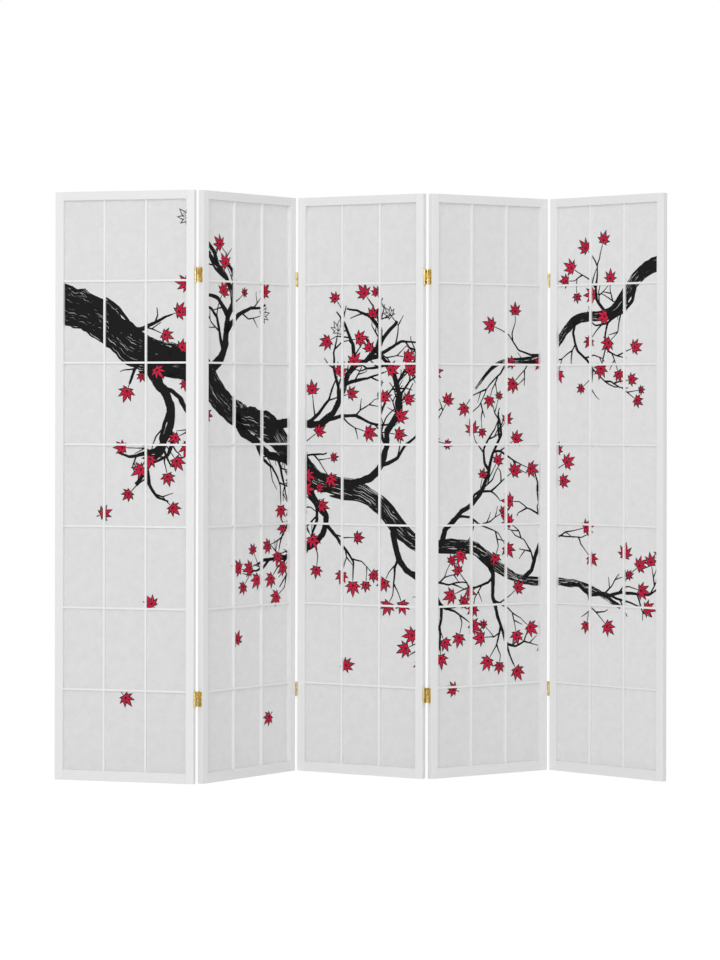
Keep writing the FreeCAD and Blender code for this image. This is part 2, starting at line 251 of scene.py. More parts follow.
# Lattice. Two uprights and six crossbars of thin painted stock per panel, half-lapped flush and
# glued to the paper. Their edges are eased, so each crossing shows as a fine line.
PANEL_WIDTH = 0.445
PANEL_HEIGHT = 1.784
STILE_WIDTH = 0.026
TOP_RAIL_HEIGHT = 0.026
BOTTOM_RAIL_HEIGHT = 0.031
PAPER_LAP = 0.007
PAPER_THICKNESS = 0.0004
LATTICE_DEPTH = 0.008
BAR_WIDTH = 0.006
BAR_EASE = 0.0005
EASE_STEPS = 2
LAP_CLEARANCE = 0.00005
COLUMNS = 3
ROWS = 7
LATTICE_WHITE = (0.875, 0.875, 0.875, 1)
LATTICE_WHITE_THIN = (0.83, 0.83, 0.83, 1)
LATTICE_THIN_PLACES = 0.6


def panel_place(k):
    """Where a panel's own frame lies: x from its left edge, y from the paper's front, z up."""
    corners = [vertex.co for vertex in nodes[f"panel_{k}_paper"].data.vertices]
    low = min(corner.z for corner in corners)
    foot = [corner for corner in corners if corner.z - low < PAPER_LAP]
    left = min(corner.x for corner in foot)
    edge = [corner for corner in foot if corner.x - left < PAPER_LAP]
    middle = Vector((
        (min(c.x for c in edge) + max(c.x for c in edge)) / 2,
        (min(c.y for c in edge) + max(c.y for c in edge)) / 2,
        0))
    turn = Matrix.Rotation(PANEL_TURNS[k], 4, "Z")
    inset = Vector((STILE_WIDTH - PAPER_LAP, PAPER_THICKNESS / 2, 0))
    return Matrix.Translation(middle - turn @ inset) @ turn


places = {k: panel_place(k) for k in PANELS}


def spaced(start, end, count):
    """Where the bars start that part a clear width into equal openings."""
    clear = (end - start - (count - 1) * BAR_WIDTH) / count
    return [start + i * (clear + BAR_WIDTH) - BAR_WIDTH for i in range(1, count)]


upright_places = spaced(STILE_WIDTH, PANEL_WIDTH - STILE_WIDTH, COLUMNS)
crossbar_places = spaced(BOTTOM_RAIL_HEIGHT, PANEL_HEIGHT - TOP_RAIL_HEIGHT, ROWS)


def bar(bm, low, high, ease):
    """A bar between two corners, with the edges along its length eased."""
    size = [b - a for a, b in zip(low, high)]
    middle = [(a + b) / 2 for a, b in zip(low, high)]
    made = bmesh.ops.create_cube(bm, size=1.0)["verts"]
    bmesh.ops.scale(bm, vec=size, verts=made)
    bmesh.ops.translate(bm, vec=middle, verts=made)
    if ease:
        edges = [
            edge for edge in {e for v in made for e in v.link_edges}
            if edge.calc_length() > max(size) - ease]
        bmesh.ops.bevel(
            bm, geom=edges, offset=ease, segments=EASE_STEPS, profile=0.5, affect="EDGES",
            material=-1)


def piece(name, bm, place, body, *materials):
    """A finished piece: its mesh put in place and riding on a body."""
    bmesh.ops.transform(bm, matrix=place, verts=bm.verts)
    mesh = bpy.data.meshes.new(name)
    bm.to_mesh(mesh)
    bm.free()
    for material in materials:
        mesh.materials.append(material)
    made = bpy.data.objects.new(name, mesh)
    bpy.context.scene.collection.objects.link(made)
    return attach(made, body)


def applied(made):
    """The piece with its modifiers worked into its mesh."""
    shown = made.evaluated_get(bpy.context.evaluated_depsgraph_get())
    mesh = bpy.data.meshes.new_from_object(shown)
    made.modifiers.clear()
    made.data = mesh
    return made


def cut_out(made, waste, place, body):
    """The piece with the waste's shape cut out of it."""
    tool = piece(f"{made.name}_waste", waste, place, body)
    cut = made.modifiers.new("cut", "BOOLEAN")
    cut.operation = "DIFFERENCE"
    cut.solver = "EXACT"
    cut.use_self = True
    cut.object = tool
    bpy.context.view_layer.update()
    applied(made)
    bpy.data.objects.remove(tool)
    return made


def notched(name, bars, cutters, k, paint):
    """Bars with the other bars' halves cut out of them."""
    stock = bmesh.new()
    for low, high in bars:
        bar(stock, low, high, BAR_EASE)
    waste = bmesh.new()
    for low, high in cutters:
        bar(waste, low, high, 0)
    made = piece(name, stock, places[k], f"panel_{k}", paint)
    return cut_out(made, waste, places[k], f"panel_{k}")


upright_paint = painted_wood(
    "upright_paint", LATTICE_WHITE, LATTICE_WHITE_THIN, 0, UPRIGHT_GRAIN, LATTICE_THIN_PLACES)
middle_depth = -LATTICE_DEPTH / 2
for k in PANELS:
    crossbar_paint = painted_wood(
        f"crossbar_paint_{k}", LATTICE_WHITE, LATTICE_WHITE_THIN, PANEL_TURNS[k], LYING_GRAIN,
        LATTICE_THIN_PLACES)
    uprights = [
        ((x, -LATTICE_DEPTH, BOTTOM_RAIL_HEIGHT),
         (x + BAR_WIDTH, 0, PANEL_HEIGHT - TOP_RAIL_HEIGHT))
        for x in upright_places]
    crossbars = [
        ((STILE_WIDTH, -LATTICE_DEPTH, z), (PANEL_WIDTH - STILE_WIDTH, 0, z + BAR_WIDTH))
        for z in crossbar_places]
    upright_waste = [
        ((0, -2 * LATTICE_DEPTH, z - LAP_CLEARANCE),
         (PANEL_WIDTH, middle_depth, z + BAR_WIDTH + LAP_CLEARANCE)) for z in crossbar_places]
    crossbar_waste = [
        ((x - LAP_CLEARANCE, middle_depth, 0),
         (x + BAR_WIDTH + LAP_CLEARANCE, LATTICE_DEPTH, PANEL_HEIGHT)) for x in upright_places]
    for name, bars, waste, paint in (
            (f"panel_{k}_uprights", uprights, upright_waste, upright_paint),
            (f"panel_{k}_crossbars", crossbars, crossbar_waste, crossbar_paint)):
        made = notched(name, bars, waste, k, paint)
        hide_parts(f"panel_{k}_lattice_bars")

# Print. A maple bough in black brush strokes with crimson leaves, printed over all five papers as
# one picture. It lies on the paper's front as a thin film, and the lattice passes in front of it.
FOLD_GAP = 0.007
PRINT_SEED = 11
INK = (0.010, 0.010, 0.010, 1)
CRIMSON = (0.66, 0.014, 0.062, 1)
CRIMSON_DEEP = (0.47, 0.008, 0.038, 1)
PRINT_GAP = (0.72, 0.72, 0.715, 1)
INK_ROUGHNESS = 0.75
INK_SHINE = 0.1
LEAF_ROUGHNESS = 0.7
LEAF_SHINE = 0.2
LEAF_CLOUDS = 60.0
INK_DEPTH = 0.00010
OUTLINE_DEPTH = 0.00035
LEAF_DEPTH = 0.00040
VEIN_DEPTH = 0.00045
LAYERS = 7
LAYER_DEPTH = 0.00003
CUT_TOLERANCE = 1e-7
OUTLINE_WIDTH = 0.0028
VEIN_WIDTH = 0.0022
STALK_WIDTH = 0.0034
STALK_LENGTH = 0.010
LEAF_FOOT_SHARE = 0.4
LEAF_ROOM = 0.8
MOST_MITER = 2.2
STREAK_WIDTH = 0.003
STREAK_LENGTH = 0.09
DRY_FROM = 0.74
DRY_TO = 0.565
DRY_EDGE = 40.0
STEP = 0.012
FINE_STEP = 0.005
TWIG_WIDTH = 0.0062
TWIG_TIP = 0.0027
LEAF_SIZE = 0.0238
BLANK_ABOVE = 1.30
BLANK_SHARE = 0.3
# How lines wander: how much of a bend is kept, how far it changes, and where and how far it kinks
BEND_KEPT = 0.7
BEND_CHANGE = 0.045
FIRST_KINK = (3, 6)
NEXT_KINK = (3, 7)
KINK_TURN = (0.2, 0.6)
# Twigs and their barbs, with chances, and sizes as shares of a whole leaf's or twig's
TIP_LEAF_CHANCE = 0.8
TIP_LEAF_SHARE = (0.85, 1.2)
BARB_EVERY = 3
BARB_CHANCE = 0.55
BARB_LEAN = (0.6, 1.1)
BARB_LENGTH = (0.012, 0.045)
BARB_UNREST = 0.5
BARB_WIDTH_SHARE = 0.8
BARB_TIP_SHARE = 0.7
BARB_LEAF_CHANCE = 0.3
BARB_LEAF_SHARE = (0.5, 0.8)
# Branches: their taper, and where, how far out and how long the next ones grow
BRANCH_UNREST = 0.9
BRANCH_TIP_SHARE = 0.3
BRANCH_DRYNESS = (0.35, 0.1)
BRANCH_SPACING = (0.085, 0.075)
BRANCH_FROM = 0.22
BRANCH_SPREAD = 0.74
BRANCH_SHIFT = (-0.2, 0.2)
BRANCH_LEAN = (0.5, 1.0)
BRANCH_REACH = (0.3, 0.55)
BRANCH_REACH_DROP = 0.55
BRANCH_REACH_AT_FOOT = 1.05
BRANCH_WIDTH_SHARE = (0.4, 0.55)
SHORTEST_TWIG = 0.05
LONGEST_TWIG = 0.09
LAST_LEAF_SHARE = 1.15
LIMB_WIDTH_SHARE = 0.37
LIMB_WIDTH_DROP = 0.75
# Bark: loose strokes along a bough's flanks
BARK_EVERY = 9
BARK_START = 2
BARK_LENGTH = (8, 15)
BARK_OFFSET_SHARE = (0.36, 0.56)
BARK_CLOSING = 0.3
BARK_WIDTH_SHARE = 0.10
BARK_LEAST_WIDTH = 0.003
BARK_RISE = 4
BARK_DRYNESS = 0.8
# Boughs as a width, an end width and a line of points; limbs of each bough as a share of its
# length, a lean and a reach; drifting leaves as a place and a heading
BOUGHS = (
    (0.126, 0.015, (
        (-0.05, 1.46), (0.12, 1.41), (0.26, 1.30), (0.44, 1.25), (0.60, 1.12), (0.80, 1.06),
        (0.96, 0.91), (1.15, 0.86), (1.32, 0.72), (1.52, 0.70), (1.70, 0.60), (1.92, 0.585),
        (2.08, 0.52))),
    (0.050, 0.009, (
        (2.30, 1.60), (2.16, 1.545), (2.05, 1.43), (1.90, 1.40), (1.78, 1.29), (1.62, 1.27),
        (1.53, 1.19))))
LIMBS = (
    ((0.10, 0.75, 0.34), (0.17, -0.95, 0.44), (0.25, 0.95, 0.50), (0.33, -0.80, 0.56),
     (0.40, 0.85, 0.62), (0.48, -0.75, 0.50), (0.55, 0.80, 0.60), (0.63, -0.85, 0.46),
     (0.70, 0.75, 0.50), (0.78, -0.6, 0.36), (0.85, 0.85, 0.38), (0.93, -0.5, 0.26),
     (0.97, 0.6, 0.3)),
    ((0.22, 0.8, 0.30), (0.38, -0.8, 0.22), (0.52, 0.85, 0.30), (0.70, -0.7, 0.20),
     (0.84, 0.8, 0.22)))
DRIFTING_LEAVES = (
    (0.13, 0.80, 0.4), (0.32, 0.52, 2.2), (0.21, 0.27, -0.9), (0.62, 0.40, 1.2),
    (0.80, 0.19, -2.4), (1.05, 0.33, 0.2), (1.47, 0.26, 2.8))
rng = random.Random(PRINT_SEED)
strokes = []
leaves = []


def along(heading):
    """The way a heading points on the flat picture."""
    return Vector((math.cos(heading), math.sin(heading)))


def heading_at(line, n):
    """Which way a line runs at one of its points."""
    ahead = line[min(n + 1, len(line) - 1)] - line[max(n - 1, 0)]
    return math.atan2(ahead.y, ahead.x)


def smooth_line(points, step):
    """A smooth line through points, at even steps."""
    line = []
    for i in range(len(points) - 1):
        a, b = Vector(points[max(i - 1, 0)]), Vector(points[i])
        c, d = Vector(points[i + 1]), Vector(points[min(i + 2, len(points) - 1)])
        count = max(2, round((c - b).length / step))
        for n in range(count):
            t = n / count
            line.append(0.5 * (
                2 * b + (c - a) * t + (2 * a - 5 * b + 4 * c - d) * t ** 2
                + (3 * b - a - 3 * c + d) * t ** 3))
    return line + [Vector(points[-1])]


def wander(start, heading, length, unrest=1.0):
    """A line that feels its way: small turns, and a kink at each joint of the twig."""
    line, place, bend = [start.copy()], start.copy(), 0.0
    until = rng.randint(*FIRST_KINK)
    for _ in range(max(3, round(length / STEP))):
        bend = BEND_KEPT * bend + rng.gauss(0, BEND_CHANGE) * unrest
        heading += bend
        until -= 1
        if not until:
            heading += rng.choice((-1, 1)) * rng.uniform(*KINK_TURN) * unrest
            until = rng.randint(*NEXT_KINK)
        place = place + STEP * along(heading)
        line.append(place)
    return line


def grow_leaf(place, heading, size):
    """A leaf where none grows yet."""
    middle = place + (STALK_LENGTH + LEAF_FOOT_SHARE * size) * along(heading)
    if all((middle - other).length > LEAF_ROOM * (size + reach) for _, other, _, reach in leaves):
        leaves.append((place, middle, heading, size))


def end_leaf(line, share):
    """A leaf at the end of a line, its size a share of a whole leaf's."""
    grow_leaf(line[-1], heading_at(line, len(line) - 1), LEAF_SIZE * share)


def twig(start, heading, length):
    """A thin last twig with barbs, and leaves at its tip and joints."""
    line = wander(start, heading, length)
    strokes.append((smooth_line(line, FINE_STEP), TWIG_WIDTH, TWIG_TIP, 0.0))
    for n in range(2, len(line) - 1, BARB_EVERY):
        if rng.random() < BARB_CHANCE:
            lean = rng.choice((-1, 1)) * rng.uniform(*BARB_LEAN)
            barb = wander(
                line[n], heading_at(line, n) + lean, rng.uniform(*BARB_LENGTH), BARB_UNREST)
            strokes.append((
                smooth_line(barb, FINE_STEP), TWIG_WIDTH * BARB_WIDTH_SHARE,
                TWIG_TIP * BARB_TIP_SHARE, 0.0))
            if rng.random() < BARB_LEAF_CHANCE:
                end_leaf(barb, rng.uniform(*BARB_LEAF_SHARE))
    if rng.random() < TIP_LEAF_CHANCE:
        end_leaf(line, rng.uniform(*TIP_LEAF_SHARE))


def branch(start, heading, length, width, level):
    """A branch that tapers, with smaller ones to its left and right by turns."""
    line = wander(start, heading, length, BRANCH_UNREST)
    end_width = max(TWIG_TIP, width * BRANCH_TIP_SHARE)
    strokes.append((smooth_line(line, FINE_STEP), width, end_width, BRANCH_DRYNESS[level]))
    side = rng.choice((-1, 1))
    count = max(2, round(length / BRANCH_SPACING[level]))
    for i in range(count):
        share = BRANCH_FROM + BRANCH_SPREAD * (i + rng.uniform(*BRANCH_SHIFT)) / count
        n = min(len(line) - 2, max(1, round(share * len(line))))
        side = -side
        away = heading_at(line, n) + side * rng.uniform(*BRANCH_LEAN)
        fall = BRANCH_REACH_AT_FOOT - BRANCH_REACH_DROP * share
        reach = max(SHORTEST_TWIG, length * fall * rng.uniform(*BRANCH_REACH))
        if level or reach < LONGEST_TWIG:
            twig(line[n], away, reach)
        else:
            thinner = max(TWIG_WIDTH, width * rng.uniform(*BRANCH_WIDTH_SHARE))
            branch(line[n], away, reach, thinner, level + 1)
    end_leaf(line, LAST_LEAF_SHARE)


def bark(line, width, end_width):
    """Loose strokes laid along a bough's flanks, so that its outline breaks up."""
    for _ in range(round(len(line) / BARK_EVERY)):
        start = rng.randint(BARK_START, len(line) - BARK_LENGTH[1] - 1)
        count = rng.randint(*BARK_LENGTH)
        wide = width + (end_width - width) * (start / len(line))
        offset = rng.choice((-1, 1)) * rng.uniform(*BARK_OFFSET_SHARE) * wide
        flank = []
        for n in range(start, start + count):
            inwards = 1 - BARK_CLOSING * (n - start) / count
            side = along(heading_at(line, n) + math.pi / 2)
            flank.append(line[n] + offset * inwards * side)
        thick = width * BARK_WIDTH_SHARE + BARK_LEAST_WIDTH
        strokes.append((flank[:BARK_RISE + 1], TWIG_TIP, thick, BARK_DRYNESS))
        strokes.append((flank[BARK_RISE:], thick, TWIG_TIP, BARK_DRYNESS))


for (width, end_width, points), limbs in zip(BOUGHS, LIMBS):
    bough = smooth_line(points, STEP)
    strokes.append((bough, width, end_width, 1.0))
    bark(bough, width, end_width)
    for share, lean, reach in limbs:
        n = round(share * (len(bough) - 2))
        thick = width * (1 - LIMB_WIDTH_DROP * share) * LIMB_WIDTH_SHARE
        branch(bough[n], heading_at(bough, n) + lean, reach, thick, 0)
for across, up, heading in DRIFTING_LEAVES:
    grow_leaf(Vector((across, up)), heading, LEAF_SIZE)


LONGEST_SEED = 50
SWELL_KEPT = 0.75
SWELL_CHANGE = 0.06
TAPER_POWER = 0.8
DRY_AT_START = 0.55


def stroke(line, width, end_width, depth, dryness=0.0):
    """One pull of the brush: an edge extruded along a line, both sides swelling a little."""
    bm = bmesh.new()
    brush = bm.verts.layers.float_vector.new("brush")
    seed, length, swell = rng.uniform(0, LONGEST_SEED), 0.0, [0.0, 0.0]
    ends = [bm.verts.new((0, 0, 0)) for _ in range(2)]
    edge = bm.edges.new(ends)
    for n, place in enumerate(line):
        if n:
            grown = bmesh.ops.extrude_edge_only(bm, edges=[edge])["geom"]
            edge = next(part for part in grown if isinstance(part, bmesh.types.BMEdge))
            before = {
                next(e.other_vert(v) for e in v.link_edges if e is not edge): v for v in edge.verts}
            ends = [before[v] for v in ends]
            length += (place - line[n - 1]).length
        share = n / (len(line) - 1)
        half = (width + (end_width - width) * share ** TAPER_POWER) / 2
        dry = dryness * (DRY_AT_START + (1 - DRY_AT_START) * share)
        side = along(heading_at(line, n) + math.pi / 2)
        for i, vertex in enumerate(ends):
            swell[i] = SWELL_KEPT * swell[i] + rng.gauss(0, SWELL_CHANGE)
            spot = place + (2 * i - 1) * half * (1 + swell[i]) * side
            vertex.co = (spot.x, -depth, spot.y)
            vertex[brush] = (seed + (2 * i - 1) * half, seed + length, dry)
    return bm


# Corners of half a leaf: degrees from its stalk, and the reach as a share of the leaf's size
LEAF_LOBES = (
    (0, 0.16), (36, 0.22), (50, 0.38), (62, 0.55), (71, 0.42), (83, 0.32), (92, 0.56), (103, 0.90),
    (111, 0.64), (123, 0.42), (132, 0.74), (142, 1.12), (149, 0.80), (161, 0.48), (169, 0.86),
    (180, 1.30))
SHARPEST = 0.01
VEIN_LEANS = (-1.02, -0.5, 0, 0.5, 1.02)
VEIN_SHARE = 0.85
VEIN_DROP = 0.25
VEIN_TAPER = 3
STALK_TAPER = 2


def leaf_ring(place, heading, size, grown):
    """The corners of a leaf of seven pointed lobes, moved out by the width of a line round it."""
    half = [(math.radians(180 - angle), reach) for angle, reach in LEAF_LOBES]
    polar = half + [(-angle, reach) for angle, reach in half[-2:0:-1]]
    ring = [place + size * reach * along(heading + angle) for angle, reach in polar]
    moved = []
    for n, corner in enumerate(ring):
        before = (corner - ring[n - 1]).normalized().orthogonal()
        after = (ring[(n + 1) % len(ring)] - corner).normalized().orthogonal()
        out = (before + after).normalized()
        moved.append(corner + grown * min(MOST_MITER, 1 / max(out.dot(before), SHARPEST)) * out)
    return moved


def leaf_blade(ring, depth, tint):
    """A leaf's printed blade: one face filled into its ring of corners."""
    bm = bmesh.new()
    brush = bm.verts.layers.float_vector.new("brush")
    corners = [bm.verts.new((corner.x, -depth, corner.y)) for corner in ring]
    bm.faces.new(corners)
    for corner in corners:
        corner[brush] = (tint, 0, 0)
    return bm


def leaf_outline(inner, outer, depth):
    """The line round a leaf: a band of faces between two rings of corners."""
    bm = bmesh.new()
    bm.verts.layers.float_vector.new("brush")
    rings = [
        [bm.verts.new((corner.x, -depth, corner.y)) for corner in ring] for ring in (inner, outer)]
    edges = []
    for ring in rings:
        edges += [bm.edges.new((ring[n - 1], ring[n])) for n in range(len(ring))]
    bmesh.ops.bridge_loops(bm, edges=edges)
    return bm


def laid(art, part):
    """Adds a part to the picture."""
    sheet = bpy.data.meshes.new("part")
    part.to_mesh(sheet)
    part.free()
    art.from_mesh(sheet)
    bpy.data.meshes.remove(sheet)


ink_art = bmesh.new()
leaf_art = bmesh.new()
for n, (line, width, end_width, dryness) in enumerate(strokes):
    laid(ink_art, stroke(line, width, end_width, INK_DEPTH + n % LAYERS * LAYER_DEPTH, dryness))
for place, middle, heading, size in leaves:
    blank = middle.y > BLANK_ABOVE and rng.random() < BLANK_SHARE
    ring = leaf_ring(middle, heading, size, 0)
    stalk = [place, (place + middle) / 2, middle]
    laid(ink_art, stroke(stalk, STALK_WIDTH, STALK_WIDTH / STALK_TAPER, INK_DEPTH))
    outside = leaf_ring(middle, heading, size, OUTLINE_WIDTH)
    laid(ink_art, leaf_outline(ring, outside, OUTLINE_DEPTH))
    if not blank:
        laid(leaf_art, leaf_blade(ring, LEAF_DEPTH, rng.random()))
    for lean in VEIN_LEANS:
        tip = middle + size * (VEIN_SHARE - VEIN_DROP * abs(lean)) * along(heading + lean)
        vein = [middle, (middle + tip) / 2, tip]
        laid(ink_art, stroke(vein, VEIN_WIDTH, VEIN_WIDTH / VEIN_TAPER, VEIN_DEPTH))


def ink_material():
    """Black brush ink that runs dry in long streaks in the thick strokes."""
    made, tree, shader = new_material("brush_ink", INK, INK_ROUGHNESS)
    shader.inputs["Specular IOR Level"].default_value = INK_SHINE
    brush = add(tree, "ShaderNodeAttribute", attribute_name="brush")
    parts = add(tree, "ShaderNodeSeparateXYZ", inputs={"Vector": brush.outputs["Vector"]})
    flat = add(tree, "ShaderNodeCombineXYZ", inputs={
        "X": parts.outputs["X"], "Y": parts.outputs["Y"]})
    stretched = add(tree, "ShaderNodeMapping", vector_type="TEXTURE", inputs={
        "Vector": flat.outputs["Vector"], "Scale": (STREAK_WIDTH, STREAK_LENGTH, 1)})
    noise = add(tree, "ShaderNodeTexNoise", inputs={
        "Vector": stretched.outputs["Vector"], "Scale": 1.0, "Detail": 3.0, "Roughness": 0.6})
    dry = add(tree, "ShaderNodeMapRange", inputs={
        "Value": parts.outputs["Z"], "From Min": 0.0, "From Max": 1.0, "To Min": DRY_FROM,
        "To Max": DRY_TO})
    over = maths(tree, "SUBTRACT", noise.outputs["Fac"], dry.outputs["Result"])
    streak = maths(tree, "MULTIPLY", over, DRY_EDGE, clamp=True)
    tree.links.new(mixed(tree, streak, INK, PRINT_GAP), shader.inputs["Base Color"])
    return made


def leaf_material():
    """Crimson print, each leaf a little lighter or deeper, and cloudy within."""
    made, tree, shader = new_material("leaf_crimson", CRIMSON, LEAF_ROUGHNESS)
    shader.inputs["Specular IOR Level"].default_value = LEAF_SHINE
    brush = add(tree, "ShaderNodeAttribute", attribute_name="brush")
    parts = add(tree, "ShaderNodeSeparateXYZ", inputs={"Vector": brush.outputs["Vector"]})
    place = add(tree, "ShaderNodeTexCoord")
    noise = add(tree, "ShaderNodeTexNoise", inputs={
        "Vector": place.outputs["Object"], "Scale": LEAF_CLOUDS, "Detail": 4.0})
    share = maths(tree, "MULTIPLY", parts.outputs["X"], noise.outputs["Fac"])
    tree.links.new(mixed(tree, share, CRIMSON, CRIMSON_DEEP), shader.inputs["Base Color"])
    return made


def cut_to(art, start):
    """A copy of the picture with what falls on one panel's paper, moved to the panel's frame."""
    part = art.copy()
    limits = (
        ((start + STILE_WIDTH, 0, 0), (-1, 0, 0)),
        ((start + PANEL_WIDTH - STILE_WIDTH, 0, 0), (1, 0, 0)),
        ((0, 0, BOTTOM_RAIL_HEIGHT), (0, 0, -1)),
        ((0, 0, PANEL_HEIGHT - TOP_RAIL_HEIGHT), (0, 0, 1)))
    for point, away in limits:
        bmesh.ops.bisect_plane(
            part, geom=part.verts[:] + part.edges[:] + part.faces[:], dist=CUT_TOLERANCE,
            plane_co=point, plane_no=away, clear_outer=True)
    bmesh.ops.translate(part, vec=(-start, 0, 0), verts=part.verts)
    bmesh.ops.triangulate(part, faces=part.faces)
    part.normal_update()
    bmesh.ops.reverse_faces(part, faces=[face for face in part.faces if face.normal.y > 0])
    return part


brush_ink = ink_material()
leaf_crimson = leaf_material()
for k in PANELS:
    start = (k - 1) * (PANEL_WIDTH + FOLD_GAP)
    for name, art, material in (
            (f"panel_{k}_ink_print", ink_art, brush_ink),
            (f"panel_{k}_leaf_print", leaf_art, leaf_crimson)):
        piece(name, cut_to(art, start), places[k], f"panel_{k}", material)
ink_art.free()
leaf_art.free()

# Hinges. Two double-acting hinges at each fold, each of three leaves stamped from brass sheet and
# curled round two brass pins. The outer leaves are screwed to the panels' edges, and the middle one
# is loose, so the fold closes either way.
HINGE_HEIGHT = 0.046
LEAF_THICKNESS = 0.0014
LEAF_EASE = 0.0002
LEAF_CORNER = 0.0022
KNUCKLE_RADIUS = 0.003
KNUCKLE_GAP = 0.0005
KNUCKLE_END_GAP = 0.0003
KNUCKLE_EASE = 0.0003
PIN_RADIUS = 0.0013
SCREW_SPACING = 0.030
SCREW_LENGTH = 0.014
SCREW_RADIUS = 0.0012
SCREW_POINT = 0.0025
SCREW_CLEARANCE = 0.00005
ACCESS_HOLE_RADIUS = 0.0032
SLOT_WIDTH = 0.0007
SLOT_DEPTH = 0.0006
ROUND_STEPS = 28
CORNER_STEPS = 5
WELD_DISTANCE = 1e-6
BRASS = (0.84, 0.70, 0.35, 1)
# The deeper brass colour is partly tarnish and partly painted reflection of dark surroundings.
BRASS_TARNISH_AND_DARK_REFLECTION = (0.38, 0.28, 0.09, 1)
BRASS_ROUGHNESS = 0.26
BRASS_SHINIER = 0.1
BRASS_DULLER = 0.15
BRASS_SPOT_SIZE = 0.005
OVERRUN = 0.0005
HALF_GAP = FOLD_GAP / 2
HALF_HINGE = HINGE_HEIGHT / 2
LEAF_FACE = LEAF_THICKNESS - HALF_GAP
SCREW_HEIGHTS = (-SCREW_SPACING / 2, SCREW_SPACING / 2)
FOLDS = range(1, 5)
lower_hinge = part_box("fold_1_hinge_pins")[0].z + HALF_HINGE


def brass_material():
    """Lacquered brass, clouded with deeper patches: partly dulled by hands and air, partly painted
    reflection of dark surroundings.
    """
    made, tree, shader = new_material("hinge_brass", BRASS, BRASS_ROUGHNESS, 1.0)
    place = add(tree, "ShaderNodeTexCoord")
    cloud = add(tree, "ShaderNodeTexNoise", inputs={
        "Vector": place.outputs["Object"], "Scale": 1 / BRASS_SPOT_SIZE, "Detail": 4.0,
        "Roughness": 0.6})
    # Where the deeper colour lies: patches of tarnish and of painted dark reflection.
    tarnish_and_dark_reflection = add(tree, "ShaderNodeMapRange", inputs={
        "Value": cloud.outputs["Fac"], "From Min": 0.42, "From Max": 0.68})
    shine = add(tree, "ShaderNodeMapRange", inputs={
        "Value": cloud.outputs["Fac"], "From Min": 0.3, "From Max": 0.7,
        "To Min": BRASS_ROUGHNESS - BRASS_SHINIER, "To Max": BRASS_ROUGHNESS + BRASS_DULLER})
    tint = mixed(tree, tarnish_and_dark_reflection.outputs["Result"], BRASS, BRASS_TARNISH_AND_DARK_REFLECTION)
    tree.links.new(tint, shader.inputs["Base Color"])
    tree.links.new(shine.outputs["Result"], shader.inputs["Roughness"])
    return made


def rod(bm, radius, low, high, y):
    """An upright round bar at a depth, its ends eased."""
    made = bmesh.ops.create_cone(
        bm, cap_ends=True, segments=ROUND_STEPS, radius1=radius, radius2=radius,
        depth=high - low)["verts"]
    bmesh.ops.translate(bm, vec=(0, y, (low + high) / 2), verts=made)
    rims = [edge for edge in {e for v in made for e in v.link_edges}
            if abs(edge.verts[0].co.z - edge.verts[1].co.z) < KNUCKLE_EASE]
    bmesh.ops.bevel(
        bm, geom=rims, offset=KNUCKLE_EASE, segments=EASE_STEPS, profile=0.5, affect="EDGES",
        material=-1)


def leaf_plate(bm, x0, x1, reach):
    """A leaf's flat plate with rounded corners and eased edges."""
    made = bmesh.ops.create_cube(bm, size=1.0)["verts"]
    bmesh.ops.scale(bm, vec=(x1 - x0, 2 * reach, HINGE_HEIGHT), verts=made)
    bmesh.ops.translate(bm, vec=((x0 + x1) / 2, 0, 0), verts=made)
    through = [e for e in {e for v in made for e in v.link_edges}
               if abs(e.verts[0].co.x - e.verts[1].co.x) > LEAF_EASE]
    bmesh.ops.bevel(
        bm, geom=through, offset=LEAF_CORNER, segments=CORNER_STEPS, profile=0.5, affect="EDGES",
        material=-1)
    rims = [e for e in bm.edges if abs(e.verts[0].co.x - e.verts[1].co.x) < LEAF_EASE / 10]
    bmesh.ops.bevel(
        bm, geom=rims, offset=LEAF_EASE, segments=EASE_STEPS, profile=0.5, affect="EDGES",
        material=-1)


def screw_holes(x0, x1, radius0, radius1):
    """Cutters for the two screw holes of a leaf: cones that pass through it."""
    bm = bmesh.new()
    lying = Matrix.Rotation(math.pi / 2, 3, "Y")
    for z in SCREW_HEIGHTS:
        made = bmesh.ops.create_cone(
            bm, cap_ends=True, segments=ROUND_STEPS, radius1=radius0, radius2=radius1,
            depth=x1 - x0)["verts"]
        bmesh.ops.rotate(bm, cent=(0, 0, 0), matrix=lying, verts=made)
        bmesh.ops.translate(bm, vec=((x0 + x1) / 2, 0, z), verts=made)
    return bm


def countersinks():
    """The holes in a screwed leaf, a clearance wider than the screws and their heads."""
    narrow = SCREW_RADIUS + SCREW_CLEARANCE
    wide = narrow + LEAF_THICKNESS
    return screw_holes(
        -HALF_GAP - OVERRUN, LEAF_FACE + OVERRUN, narrow - OVERRUN, wide + OVERRUN)


def access_holes():
    """The holes in the loose leaf, through which a screwdriver reaches the screws."""
    return screw_holes(-HALF_GAP, HALF_GAP, ACCESS_HOLE_RADIUS, ACCESS_HOLE_RADIUS)


def screws():
    """Two countersunk wood screws, flush in the left leaf: a profile spun round each one's axis."""
    bm = bmesh.new()
    head = SCREW_RADIUS + LEAF_THICKNESS
    neck = LEAF_FACE - SCREW_LENGTH + SCREW_POINT
    profile = (
        (LEAF_FACE, 0), (LEAF_FACE, head), (-HALF_GAP, SCREW_RADIUS), (neck, SCREW_RADIUS),
        (neck - SCREW_POINT, 0))
    for z in SCREW_HEIGHTS:
        line = [bm.verts.new((x, 0, z + radius)) for x, radius in profile]
        edges = [bm.edges.new(pair) for pair in zip(line, line[1:])]
        bmesh.ops.spin(
            bm, geom=line + edges, cent=(0, 0, z), axis=(1, 0, 0), angle=2 * math.pi,
            steps=ROUND_STEPS)
    bmesh.ops.remove_doubles(bm, verts=bm.verts, dist=WELD_DISTANCE)
    bmesh.ops.recalc_face_normals(bm, faces=bm.faces)
    return bm


